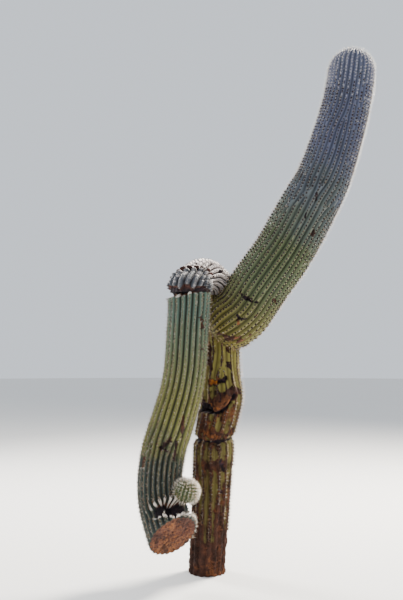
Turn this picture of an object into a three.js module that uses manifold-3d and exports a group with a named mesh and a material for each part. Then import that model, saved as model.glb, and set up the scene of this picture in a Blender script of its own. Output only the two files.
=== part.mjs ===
// A weathered saguaro: a ribbed trunk whose top folded over long ago, so that one arm hangs beside it
// to a turned-up, cut end with a young offset on it, while a thick arm still rises to the right.
// Millimetres, +Z up. The origin is the middle of the flat cut under the trunk, at ground level.
import * as THREE from 'three';
import { mergeVertices } from 'three/addons/utils/BufferGeometryUtils.js';
import Module from 'manifold-3d';

const wasm = await Module();
wasm.setup();

// Driving dimensions of the whole plant
const SEAT_GAP = 0.4; // left between pieces that meet face to face
const SEAT_GROWTH = 0.6; // by which a neighbour grows before it is cut out of a piece

// A station is a point on a stem's middle line with the radius over its rib crests there.
const station = (x, y, z, radius) => ({ at: new THREE.Vector3(x, y, z), radius });

const TRUNK = {
  ribs: 16,
  ribDepth: 16,
  ringStep: 50,
  stations: [
    station(0, 0, 0, 143),
    station(5, 0, 150, 142),
    station(22, 3, 420, 147),
    station(38, 12, 690, 151),
    station(47, 20, 850, 157),
    station(52, 25, 960, 153),
    station(80, 32, 1095, 159),
    station(106, 40, 1247, 164),
    station(97, 52, 1450, 154),
    station(90, 66, 1730, 154),
    station(75, 80, 1990, 159),
  ],
  // A groove runs round the stem at a place along it. Given a side that it faces, it is deepest there.
  grooves: [
    { along: 961, halfWidth: 24, depth: 20 },
    { along: 1170, halfWidth: 26, depth: 40, facing: new THREE.Vector3(-0.55, -0.83, 0), focus: 2 },
  ],
};

const RAISED_ARM = {
  ribs: 26,
  ribDepth: 19,
  ringStep: 84,
  stations: [
    station(16, -20, 1698, 222),
    station(138, -26, 1781, 226),
    station(256, -30, 1873, 228),
    station(371, -30, 2045, 226),
    station(540, -25, 2280, 225),
    station(660, -15, 2485, 225),
    station(758, -5, 2668, 220),
    station(853, 5, 2840, 209),
    station(970, 30, 3174, 198),
    station(1057, 60, 3492, 189),
    station(1114, 97, 3866, 186),
  ],
  footDome: 190,
  footBlunt: 2.2, // 2 is a round end, and more is a blunter one
  tipDome: 200,
};

// The arm that hangs: its line starts level at the fold and runs down to the cut end.
const HANGING_ARM = {
  ribs: 20,
  ribDepth: 17,
  ringStep: 62,
  stations: [
    station(-127, -270, 1990, 160),
    station(-127, -270, 1890, 157),
    station(-136, -274, 1740, 155),
    station(-151, -275, 1486, 155),
    station(-182, -265, 1299, 156),
    station(-238, -255, 1105, 160),
    station(-297, -245, 918, 163),
    station(-324, -245, 760, 163),
    station(-327, -255, 625, 166),
    station(-305, -290, 505, 170),
    station(-231, -420, 348, 183),
  ],
  grooves: [
    { along: 0, halfWidth: 30, depth: 56, facing: new THREE.Vector3(-0.5, -0.87, 0), focus: 1.5 },
    { along: 1590, halfWidth: 62, depth: 108, facing: new THREE.Vector3(0.25, -0.75, 0.6), focus: 3.5 },
  ],
  bendAt: 1590, // along the line, where the arm creases and turns towards its cut end
  // The cut isn't square to the stem: the way that its face looks, and the length that it slants over.
  cut: { facing: new THREE.Vector3(0.45, -0.68, -0.58), reach: 120 },
  dish: 26, // by which the middle of the cut face lies back from its rim
};

// The fold swings rings round a level axis between the trunk's top and the hanging arm's top. Each row
// gives degrees up from the hanging side, the outer skin's distance from that axis, and the half-width.
const FOLD = {
  level: 1990,
  innerHeight: 24,
  steps: 18,
  profile: [
    [0, 362, 160],
    [15, 348, 170],
    [32, 300, 158],
    [46, 272, 143],
    [62, 263, 143],
    [90, 264, 148],
    [120, 264, 152],
    [150, 302, 157],
    [180, 361, 159],
  ],
  crack: { turn: 37, halfWidth: 6, depth: 24 },
  lip: { turn: 7, depth: 56 },
};

const YOUNG_OFFSET = {
  ribs: 14,
  ribDepth: 9,
  ringStep: 30,
  stations: [
    station(-172, -352, 562, 78),
    station(-148, -368, 632, 84),
    station(-128, -380, 712, 80),
  ],
  footDome: 72,
  tipDome: 78,
};

const LINE_STEPS = 400; // the samples that a stem's line and its frames are worked out at
const DOME_RINGS = 5;

// A stem's line: its points, radii and untwisted frames by the distance along it.
function stemLine(stations, firstSide) {
  const middle = new THREE.CatmullRomCurve3(stations.map((s) => s.at), false, 'catmullrom');
  const girth = new THREE.CatmullRomCurve3(
    stations.map((s) => new THREE.Vector3(s.radius, 0, 0)),
    false,
    'catmullrom',
  );
  const samples = [];
  let along = 0;
  let side = firstSide.clone();
  for (let i = 0; i <= LINE_STEPS; i += 1) {
    const t = i / LINE_STEPS;
    const at = middle.getPoint(t);
    const heading = middle.getTangent(t);
    if (i > 0) along += at.distanceTo(samples[i - 1].at);
    side = side.clone().addScaledVector(heading, -side.dot(heading)).normalize();
    samples.push({ at, heading, side, radius: girth.getPoint(t).x, along });
  }
  return { samples, length: along };
}

// The sample at a distance along a line, mixed from the two beside it.
function sampleAt(line, along) {
  const samples = line.samples;
  const wanted = THREE.MathUtils.clamp(along, 0, line.length);
  let i = samples.findIndex((s) => s.along >= wanted);
  i = Math.max(i, 1);
  const [a, b] = [samples[i - 1], samples[i]];
  const share = (wanted - a.along) / (b.along - a.along);
  return {
    at: a.at.clone().lerp(b.at, share),
    heading: a.heading.clone().lerp(b.heading, share).normalize(),
    side: a.side.clone().lerp(b.side, share).normalize(),
    radius: THREE.MathUtils.lerp(a.radius, b.radius, share),
    along: wanted,
  };
}

// 1 on the side that is faced, falling to 0 on the side that looks away.
function faced(outward, facing, focus) {
  return Math.max(0, 0.5 + 0.5 * outward.dot(facing)) ** focus;
}

// How far the grooves pull the surface in at a distance along the stem, on the side that outward names.
function grooveDepth(grooves, along, outward) {
  return grooves.reduce((sum, g) => {
    const nearness = Math.exp(-(((along - g.along) / g.halfWidth) ** 2));
    return sum + g.depth * nearness * (g.facing ? faced(outward, g.facing.clone().normalize(), g.focus) : 1);
  }, 0);
}

// The distances along a stem where rings go: even steps, closer in a dome at either end and in grooves.
function ringPlaces(from, to, step, footDome, tipDome, grooves) {
  const places = new Set([from, to]);
  const [low, high] = [from + footDome, to - tipDome];
  const count = Math.max(1, Math.round((high - low) / step));
  for (let i = 0; i <= count; i += 1) places.add(low + ((high - low) * i) / count);
  for (let i = 1; i < DOME_RINGS; i += 1) {
    const rise = 1 - Math.cos((Math.PI / 2) * (i / DOME_RINGS));
    if (footDome) places.add(from + footDome * rise);
    if (tipDome) places.add(to - tipDome * rise);
  }
  for (const g of grooves) for (const k of [-1.4, -0.6, 0, 0.6, 1.4]) places.add(g.along + k * g.halfWidth);
  const sorted = [...places].filter((s) => s >= from && s <= to).sort((a, b) => a - b);
  return sorted.filter((s, i) => i === 0 || s === to || (s - sorted[i - 1] > 4 && to - s > 4));
}

// One ring of points. A ring has a centre, two axes with their half-widths, and a depth for its furrows.
function ringPoints({ centre, across, beside, halfAcross, halfBeside, ribs, furrow, pull }) {
  const points = [];
  for (let i = 0; i < ribs * 2; i += 1) {
    const turn = (Math.PI * i) / ribs;
    const outward = across.clone().multiplyScalar(Math.cos(turn)).addScaledVector(beside, Math.sin(turn));
    const inset = (i % 2 ? furrow : 0) + pull(outward);
    points.push(
      centre
        .clone()
        .addScaledVector(across, Math.cos(turn) * Math.max(halfAcross - inset, 1))
        .addScaledVector(beside, Math.sin(turn) * Math.max(halfBeside - inset, 1)),
    );
  }
  return points;
}

// Slides a ring's points along the stem, in step with how near its end the ring is, so that the end's face
// looks the way that the cut does.
function slant(points, centre, end, cut, nearness) {
  if (nearness <= 0) return points;
  return points.map((p) => {
    const slide = -p.clone().sub(centre).dot(cut.facing) / end.heading.dot(cut.facing);
    return p.clone().addScaledVector(end.heading, slide * nearness);
  });
}

// A closed surface over rings of points. An end is a pole where one is given, and else a flat fan.
function skin(rings, footPole, tipPole) {
  const count = rings[0].length;
  const vertices = rings.flat();
  const middleOf = (ring) => ring.reduce((sum, p) => sum.add(p), new THREE.Vector3()).divideScalar(count);
  const foot = vertices.push(footPole ?? middleOf(rings[0])) - 1;
  const tip = vertices.push(tipPole ?? middleOf(rings.at(-1))) - 1;
  const faces = [];
  for (let i = 0; i < count; i += 1) {
    const next = (i + 1) % count;
    faces.push(foot, next, i);
    for (let r = 0; r < rings.length - 1; r += 1) {
      const [low, high] = [r * count, (r + 1) * count];
      faces.push(low + i, low + next, high + next, low + i, high + next, high + i);
    }
    const last = (rings.length - 1) * count;
    faces.push(tip, last + i, last + next);
  }
  const geometry = new THREE.BufferGeometry();
  geometry.setAttribute('position', new THREE.Float32BufferAttribute(vertices.flatMap((v) => v.toArray()), 3));
  geometry.setIndex(faces);
  return geometry;
}

// The share of the full width at a share of the way in from a dome's pole.
function domeWidth(inward, blunt) {
  return (1 - (1 - inward) ** blunt) ** (1 / blunt);
}

// A ribbed stem between two distances along its line. grow swells it, for cutting it out of a neighbour.
function ribbedStem(line, shape, { from = 0, to = line.length, level = false, grow = 0, smooth = false } = {}) {
  const { footDome = 0, footBlunt = 2, tipDome = 0, grooves = [], dish = 0, cut = null } = shape;
  const end = sampleAt(line, to);
  const places = ringPlaces(from, to, shape.ringStep, footDome, tipDome, grooves);
  const kept = places.filter((s) => !(footDome && s === from) && !(tipDome && s === to));
  const rings = kept.map((along) => {
    const here = sampleAt(line, along);
    const across = level ? new THREE.Vector3(1, 0, 0) : here.side;
    const beside = level ? new THREE.Vector3(0, 1, 0) : here.heading.clone().cross(here.side).normalize();
    let closing = 1;
    if (along < from + footDome) closing = domeWidth((along - from) / footDome, footBlunt);
    if (along > to - tipDome) closing = domeWidth((to - along) / tipDome, 2);
    const radius = here.radius * closing + grow;
    const points = ringPoints({
      centre: here.at,
      across,
      beside,
      halfAcross: radius,
      halfBeside: radius,
      ribs: shape.ribs,
      furrow: smooth ? 0 : shape.ribDepth * closing,
      pull: (outward) => (smooth ? 0 : grooveDepth(grooves, along, outward)),
    });
    return cut ? slant(points, here.at, end, cut, (along - line.length + cut.reach) / cut.reach) : points;
  });
  const footPole = footDome ? sampleAt(line, from).at : null;
  const sunk = dish && to === line.length ? end.at.clone().addScaledVector(end.heading, -dish) : null;
  return skin(rings, footPole, tipDome ? end.at : sunk);
}

// The outer distance and the half-width of the fold at some degrees up from the hanging side.
function foldProfile(degrees) {
  const rows = FOLD.profile;
  const i = Math.min(rows.findIndex((row) => row[0] > degrees) - 1, rows.length - 2);
  const low = rows[i < 0 ? rows.length - 2 : i];
  const high = rows[(i < 0 ? rows.length - 2 : i) + 1];
  const share = THREE.MathUtils.smoothstep(degrees, low[0], high[0]);
  return [1, 2].map((k) => THREE.MathUtils.lerp(low[k], high[k], share));
}

// The folded top: rings that swing from the trunk's top, over the crest, to the hanging arm's top.
function foldedTop(trunkTop, hangingTop) {
  const axis = trunkTop.at.clone().add(hangingTop.at).multiplyScalar(0.5).setZ(FOLD.level);
  const outward = hangingTop.at.clone().sub(trunkTop.at).setZ(0);
  const halfSpan = outward.length() / 2;
  outward.normalize();
  const up = new THREE.Vector3(0, 0, 1);
  const beside = new THREE.Vector3().crossVectors(new THREE.Vector3(0, 0, -1), outward);
  const rise = SEAT_GAP / (halfSpan * 2);
  const turns = Array.from({ length: FOLD.steps + 1 }, (_, i) => rise + (Math.PI - 2 * rise) * (i / FOLD.steps));
  const near = (degrees, middle, width) => Math.exp(-(((degrees - middle) / width) ** 2));
  const rings = turns.map((turn) => {
    const degrees = THREE.MathUtils.radToDeg(turn);
    const [outer, halfBeside] = foldProfile(degrees);
    const legGap = halfSpan - THREE.MathUtils.lerp(hangingTop.radius, trunkTop.radius, degrees / 180);
    const inner = THREE.MathUtils.lerp(legGap, FOLD.innerHeight, Math.sin(turn) ** 2);
    const across = outward.clone().multiplyScalar(Math.cos(turn)).addScaledVector(up, Math.sin(turn));
    const { crack, lip } = FOLD;
    const pinch = crack.depth * near(degrees, crack.turn, crack.halfWidth) + lip.depth * near(degrees, 0, lip.turn);
    return ringPoints({
      centre: axis.clone().addScaledVector(across, (outer + inner) / 2),
      across,
      beside,
      halfAcross: (outer - inner) / 2,
      halfBeside,
      ribs: HANGING_ARM.ribs,
      furrow: HANGING_ARM.ribDepth,
      pull: (facing) => pinch * faced(facing, across, 1.5),
    });
  });
  return skin(rings.reverse(), null, null);
}

// A geometry as a solid for cutting, and back again.
function solidOf(geometry) {
  const bare = new THREE.BufferGeometry();
  bare.setAttribute('position', geometry.getAttribute('position'));
  bare.setIndex(geometry.getIndex());
  const merged = mergeVertices(bare, 1e-3);
  return new wasm.Manifold(
    new wasm.Mesh({
      numProp: 3,
      vertProperties: merged.attributes.position.array,
      triVerts: new Uint32Array(merged.index.array),
    }),
  );
}

function geometryOf(solid) {
  const mesh = solid.getMesh();
  const geometry = new THREE.BufferGeometry();
  geometry.setAttribute('position', new THREE.BufferAttribute(mesh.vertProperties, 3));
  geometry.setIndex(new THREE.BufferAttribute(mesh.triVerts, 1));
  geometry.computeVertexNormals();
  return geometry;
}

// The largest connected piece, so that no scrap is left where a cut grazes a rib.
function mainBody(solid) {
  return solid.decompose().reduce((a, b) => (a.volume() > b.volume() ? a : b));
}

function cutAway(geometry, neighbours) {
  const rest = neighbours.reduce((solid, n) => solid.subtract(solidOf(n)), solidOf(geometry));
  return geometryOf(mainBody(rest));
}

// Lines of the stems
const X_SIDE = new THREE.Vector3(1, 0, 0);
const trunkLine = stemLine(TRUNK.stations, X_SIDE);
const raisedLine = stemLine(RAISED_ARM.stations, new THREE.Vector3(0, -1, 0));
const offsetLine = stemLine(YOUNG_OFFSET.stations, new THREE.Vector3(0, -1, 0));
const trunkTop = TRUNK.stations.at(-1);
const hangingTop = HANGING_ARM.stations[0];
const hangingLine = stemLine(HANGING_ARM.stations, hangingTop.at.clone().sub(trunkTop.at).setZ(0).normalize());

// Solids
const trunk = ribbedStem(trunkLine, TRUNK, { level: true });
const trunkSeat = ribbedStem(trunkLine, TRUNK, { level: true, grow: SEAT_GROWTH, smooth: true });
const raisedArm = cutAway(ribbedStem(raisedLine, RAISED_ARM), [trunkSeat]);
const raisedSeat = ribbedStem(raisedLine, RAISED_ARM, { grow: SEAT_GROWTH, smooth: true });
const foldedCrown = cutAway(foldedTop(trunkTop, hangingTop), [raisedSeat]);
const bend = HANGING_ARM.bendAt;
const hangingArm = ribbedStem(hangingLine, HANGING_ARM, { to: bend - SEAT_GAP / 2 });
const armEnd = ribbedStem(hangingLine, HANGING_ARM, { from: bend + SEAT_GAP / 2 });
const hangingSeat = ribbedStem(hangingLine, HANGING_ARM, { from: 900, to: 1580, grow: SEAT_GROWTH, smooth: true });
const youngOffset = cutAway(ribbedStem(offsetLine, YOUNG_OFFSET), [hangingSeat]);

// Finishes
const skinOf = (color, roughness) => new THREE.MeshStandardMaterial({ color, roughness, metalness: 0 });
const oldSkin = skinOf(0x8c8546, 0.8);
const greenSkin = skinOf(0x6f7a4c, 0.75);
const greyCork = skinOf(0x9c948c, 0.9);
const youngSkin = skinOf(0x5c7436, 0.75);

function pieceOf(name, geometry, material) {
  const mesh = new THREE.Mesh(geometry, material);
  mesh.name = name;
  return mesh;
}

const saguaro = new THREE.Group();
saguaro.add(
  pieceOf('trunk', trunk, oldSkin),
  pieceOf('raised_arm', raisedArm, greenSkin),
  pieceOf('folded_crown', foldedCrown, greyCork),
  pieceOf('hanging_arm', hangingArm, greenSkin),
  pieceOf('cut_arm_end', armEnd, greenSkin),
  pieceOf('young_offset', youngOffset, youngSkin),
);

export default saguaro;
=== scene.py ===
"""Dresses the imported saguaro: ribbed skin, bark, cracks, areoles and spines, in a plain studio."""

import itertools
import math
from dataclasses import dataclass

import bpy
import numpy as np
from bpy.props import FloatProperty, FloatVectorProperty, IntProperty, PointerProperty
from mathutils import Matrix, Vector


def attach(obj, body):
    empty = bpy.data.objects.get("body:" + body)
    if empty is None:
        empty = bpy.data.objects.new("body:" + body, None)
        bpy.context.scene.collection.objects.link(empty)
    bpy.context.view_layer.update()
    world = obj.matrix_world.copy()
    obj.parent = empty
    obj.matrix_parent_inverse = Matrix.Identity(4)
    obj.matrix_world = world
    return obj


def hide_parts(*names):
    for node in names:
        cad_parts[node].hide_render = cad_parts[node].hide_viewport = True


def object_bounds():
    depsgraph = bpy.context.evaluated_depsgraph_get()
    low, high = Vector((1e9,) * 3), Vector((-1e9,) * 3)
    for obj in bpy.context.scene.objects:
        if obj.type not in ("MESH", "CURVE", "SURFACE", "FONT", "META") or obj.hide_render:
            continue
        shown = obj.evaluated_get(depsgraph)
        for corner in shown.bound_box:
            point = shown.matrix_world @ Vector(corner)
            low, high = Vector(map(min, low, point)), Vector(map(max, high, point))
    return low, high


bl_info = {
    "name": "Saguaro dressing",
    "version": (1, 0, 0),
    "blender": (4, 5, 0),
    "location": "3D View > Sidebar > Saguaro",
    "description": "Builds the skin, areoles and spines of a folded saguaro over its packed solids",
    "category": "Add Mesh",
}

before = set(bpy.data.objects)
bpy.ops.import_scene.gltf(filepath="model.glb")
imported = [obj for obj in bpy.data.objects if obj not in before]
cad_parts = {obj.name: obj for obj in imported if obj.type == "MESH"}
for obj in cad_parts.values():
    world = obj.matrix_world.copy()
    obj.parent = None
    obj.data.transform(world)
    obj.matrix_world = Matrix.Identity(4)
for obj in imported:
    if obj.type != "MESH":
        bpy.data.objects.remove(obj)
CAD_LOW, CAD_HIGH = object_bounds()

# Directions
AXIS_X = (1.0, 0.0, 0.0)
TOWARDS_VIEWER = (0.0, -1.0, 0.0)
FOLD_OUTWARD = (-0.5, -0.866, 0.0)
CREASE_SIDE = (0.35, -0.68, 0.65)
CUT_FACING = (0.45, -0.68, -0.58)  # the way that the hanging arm's cut face looks

# Colours that no setting holds
FLAME = (0.55, 0.19, 0.02)  # orange tissue bared in the trunk's wound
CRACK_SHADE = (0.01, 0.006, 0.008)  # painted shade inside a crack
WARM_CRACK_SHADE = (0.05, 0.024, 0.032)  # painted shade inside a crack, warmed by the old tissue that shows in it
PALE_LIT_RIB_END = (0.74, 0.66, 0.58)  # pale bared end of a rib beside a crack, with painted highlight on its lit tip

# Sizes along the stems in metres: x, y and z of the middle line, and the radius over the crests

TRUNK_LINE = [
    (0, 0, 0, 0.143), (0.005, 0, 0.15, 0.142), (0.022, 0.003, 0.42, 0.147), (0.038, 0.012, 0.69, 0.151),
    (0.047, 0.02, 0.85, 0.157), (0.052, 0.025, 0.96, 0.153), (0.08, 0.032, 1.095, 0.159),
    (0.106, 0.04, 1.247, 0.164), (0.097, 0.052, 1.45, 0.154), (0.09, 0.066, 1.73, 0.154),
    (0.075, 0.08, 1.99, 0.159),
]
RAISED_LINE = [
    (0.016, -0.02, 1.698, 0.222), (0.138, -0.026, 1.781, 0.226), (0.256, -0.03, 1.873, 0.228),
    (0.371, -0.03, 2.045, 0.226), (0.54, -0.025, 2.28, 0.225), (0.66, -0.015, 2.485, 0.225),
    (0.758, -0.005, 2.668, 0.22), (0.853, 0.005, 2.84, 0.209), (0.97, 0.03, 3.174, 0.198),
    (1.057, 0.06, 3.492, 0.189), (1.114, 0.097, 3.866, 0.186),
]
HANGING_LINE = [
    (-0.127, -0.27, 1.99, 0.16), (-0.127, -0.27, 1.89, 0.157), (-0.136, -0.274, 1.74, 0.155),
    (-0.151, -0.275, 1.486, 0.155), (-0.182, -0.265, 1.299, 0.156), (-0.238, -0.255, 1.105, 0.16),
    (-0.297, -0.245, 0.918, 0.163), (-0.324, -0.245, 0.76, 0.163), (-0.327, -0.255, 0.625, 0.166),
    (-0.305, -0.29, 0.505, 0.17), (-0.231, -0.42, 0.348, 0.183),
]
OFFSET_LINE = [(-0.172, -0.352, 0.562, 0.078), (-0.148, -0.368, 0.632, 0.084), (-0.128, -0.38, 0.712, 0.08)]
ARM_BEND = 1.59  # along the hanging arm, where it turns towards its cut end
CREASE = 1.6  # along the hanging arm, the middle of its crease on the side where that is widest
CUT_REACH = 0.12  # along the hanging arm, the length over which its rings slant to lie in the cut
HAIR = 0.00003  # between the hanging arm's skin and its cut end's
FOLD_LEVEL = 1.99  # height of the level axis that the top is folded round
FOLD_INNER = 0.024  # from that axis to the fold's inner side, at the top of its bend
FOLD_PROFILE = [  # degrees up from the hanging side, outer distance from the fold's axis, half-width
    (0, 0.362, 0.16), (15, 0.348, 0.17), (32, 0.3, 0.158), (46, 0.272, 0.143), (62, 0.263, 0.143),
    (90, 0.264, 0.148), (120, 0.264, 0.152), (150, 0.302, 0.157), (180, 0.361, 0.159),
]
FOLD_ARC = 0.3  # metres along the fold for each radian


# Small maths

LATTICE = 32  # cells a side of the lattice that lumps repeats over
SAMPLES = 400  # steps of a smooth line


def unit(vectors):
    return vectors / np.linalg.norm(vectors, axis=-1, keepdims=True)


def dot(a, b):
    return (a * b).sum(-1)


def ease(value, low, high):
    """0 at low and 1 at high, with a smooth change between them and none beyond."""
    t = np.clip((value - low) / (high - low), 0, 1)
    return t * t * (3 - 2 * t)


def turned(across, beside, turn):
    """Directions at an angle from across towards beside."""
    return across * np.cos(turn)[:, None] + beside * np.sin(turn)[:, None]


def lumps(points, size, seed):
    """Smooth noise from -1 to 1 over points, with lumps about size metres across."""
    lattice = np.random.default_rng(seed).uniform(-1, 1, (LATTICE, LATTICE, LATTICE))
    place = points / size
    cell = np.floor(place).astype(int)
    share = place - cell
    share = share * share * (3 - 2 * share)
    total = np.zeros(points.shape[:-1])
    for corner in itertools.product((0, 1), repeat=3):
        weight = np.prod(np.where(np.array(corner, bool), share, 1 - share), axis=-1)
        x, y, z = np.moveaxis((cell + corner) % LATTICE, -1, 0)
        total += weight * lattice[x, y, z]
    return total


def smooth_line(rows):
    """A smooth line through the rows, as a row of values for each sample."""
    rows = np.array(rows, float)
    padded = np.vstack([2 * rows[0] - rows[1], rows, 2 * rows[-1] - rows[-2]])
    t = np.linspace(0, len(rows) - 1, SAMPLES + 1)
    i = np.minimum(t.astype(int), len(rows) - 2)
    w = (t - i)[:, None]
    a, b, c, d = (padded[i + k] for k in range(4))
    rise = (2 * w**3 - 3 * w**2 + 1) * b + (3 * w**2 - 2 * w**3) * c
    return rise + (w**3 - 2 * w**2 + w) * (c - a) / 2 + (w**3 - w**2) * (d - b) / 2


# What marks a stem

FAR_WIDTH = 0.3  # share of a crack's width that is left on the side that looks away
LEAST_REACH = 0.001  # least half-width of a crack
CORE_FADE = 0.55  # share of a crack's width over which its dark core fades
END_TAPER = 0.3  # how much a bared rib end narrows along its length
SCAR_SEE_THROUGH = 0.96  # how little a scar minds its distance from the skin straight out or in
SCAR_FRAY = 0.6  # size of a scar's ragged lumps as a share of its half-width
LEAST_FRAY = 0.012  # least size of those lumps


@dataclass
class Crack:
    """A crack round a stem at a place along it, with the bared ends of the ribs on either side of it."""
    along: float
    half_width: float
    depth: float
    facing: tuple = None  # the side that it is deepest on
    focus: float = 1.5  # how closely it keeps to that side
    scallop: float = 0.0  # how far the crests reach into it
    edge: float = 0.008  # half the width over which the skin falls in
    tilt: tuple = (0, 0, 0)  # how far it moves along the stem by side
    bark: float = 1.0  # 1 is bark, and more is rusty and then orange
    hollow: float = 0.0  # painted shade deep in its core: how dark that is
    knob: tuple = (0.02, 0.02)  # length of the rib ends before and after it
    narrow: tuple = (0.1, 0.1)  # how much of a rib's flanks those ends leave
    pale: float = 1.0  # how pale they are: pale bared tissue with painted highlight
    swell: float = 0.004  # how far they stand out
    ragged: float = 0.3  # how far its edges wander, as a share of its half-width
    jag: float = 0.01  # how unevenly the crests reach into it
    scorch: float = 0.0  # bark on the rib ends past it
    core: float = 0.35  # share of its half-width that is darkest

    def masks(self, smooth, along, outward, furrow, chance):
        """How far the crack pulls the skin in, how much it bares, how much painted shade darkens it, and the
        rib ends beside it.
        """
        side = 1.0
        if self.facing:
            side = np.maximum(0, 0.5 + 0.5 * dot(outward, unit(np.array(self.facing)))) ** self.focus
        beyond = along - self.along - outward @ np.array(self.tilt, float)
        away = np.abs(beyond) + self.half_width * self.ragged * lumps(smooth, 0.05, seed=4)
        crest = 1 - furrow**2
        reach = self.half_width * (FAR_WIDTH + (1 - FAR_WIDTH) * side)
        reach = reach - (self.scallop + self.jag * (chance - 0.5)) * crest * side
        reach = np.maximum(reach, LEAST_REACH)
        inside = 1 - ease(away, reach - self.edge, reach + self.edge)
        middle = 1 - ease(away, self.core * reach, (self.core + CORE_FADE) * reach)
        past = (away - reach) / np.where(beyond < 0, *self.knob)
        flank = 1 - furrow - END_TAPER * np.clip(past, 0, 1) - np.where(beyond < 0, *self.narrow)
        strong = np.minimum(1, 1.6 * side)
        rim = ease(past, -0.3, 0.1) * (1 - ease(past, 0.7, 1.1)) * ease(flank, 0, 0.3) * strong
        pull = self.depth * side * inside - self.swell * rim
        bark = np.maximum(self.bark * inside * strong, self.scorch * rim * (beyond > 0))
        return pull, bark, self.hollow * middle * strong, self.pale * rim * (0.6 + 0.8 * chance)


@dataclass
class Mark:
    """A scar along some points of the skin."""
    points: list
    reach: float  # half its width
    sink: float  # how far it sinks in, or stands out if negative
    bark: float  # as a crack's
    hollow: float  # how far it is darkened: painted shade where it sinks in, and dark scar tissue
    ragged: float  # how far its edges wander, as a share of its reach

    def mask(self, points, outward, seed):
        """How much each point of the skin is scarred."""
        line = np.array(self.points, float)
        near = np.full(len(points), np.inf)
        starts, ends = (line[:-1], line[1:]) if len(line) > 1 else (line, line)
        for a, b in zip(starts, ends):
            length = max(float(dot(b - a, b - a)), 1e-9)
            t = np.clip((points - a) @ (b - a) / length, 0, 1)[:, None]
            gap = points - a - t * (b - a)
            away = dot(gap, gap) - SCAR_SEE_THROUGH * dot(gap, outward) ** 2
            near = np.minimum(near, np.sqrt(np.maximum(0, away)))
        fray = lumps(points, max(self.reach * SCAR_FRAY, LEAST_FRAY), seed)
        return 1 - ease(near / self.reach + self.ragged * fray, 0.6, 1.1)


# Stems

KNOB = 0.0016  # how far a rib rises at each of its areoles
LEAD = 0.1  # how far before they merge two ribs start to close up
FLAT_BARK = 0.75  # share of a groove's depth that bark fills
RELIEF_LUMPS = (0.2, 0.12)  # how much the grooves' depth varies, and over what length
WOBBLE_LENGTH = 0.3  # over what length a rib wanders
LEAST_WIDE = 0.001  # least half-width of a section
NOTCH = 0.006  # half the width of the notch between two scales
NOTCH_BARK = 0.8  # how barked a notch is
FOOT_RAGGED = 0.16  # how unevenly the bark of a foot ends, in metres of height
FOOT_LUMPS = 0.09  # size of that unevenness
FOOT_STRETCH = (1.6, 1.6, 0.6)  # which draws it out up the stem
FOOT_FADE = (0.55, 1.3)  # shares of the bark's height between which it ends
DOME_RINGS = 20  # rings of the skin in a dome
GRIT = [  # height on skin, height added on bark, size of the lumps, and their seed
    (0.0012, 0.0, 0.035, 2), (0.0, 0.005, 0.018, 3), (0.0, 0.006, 0.055, 4),
]


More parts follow.
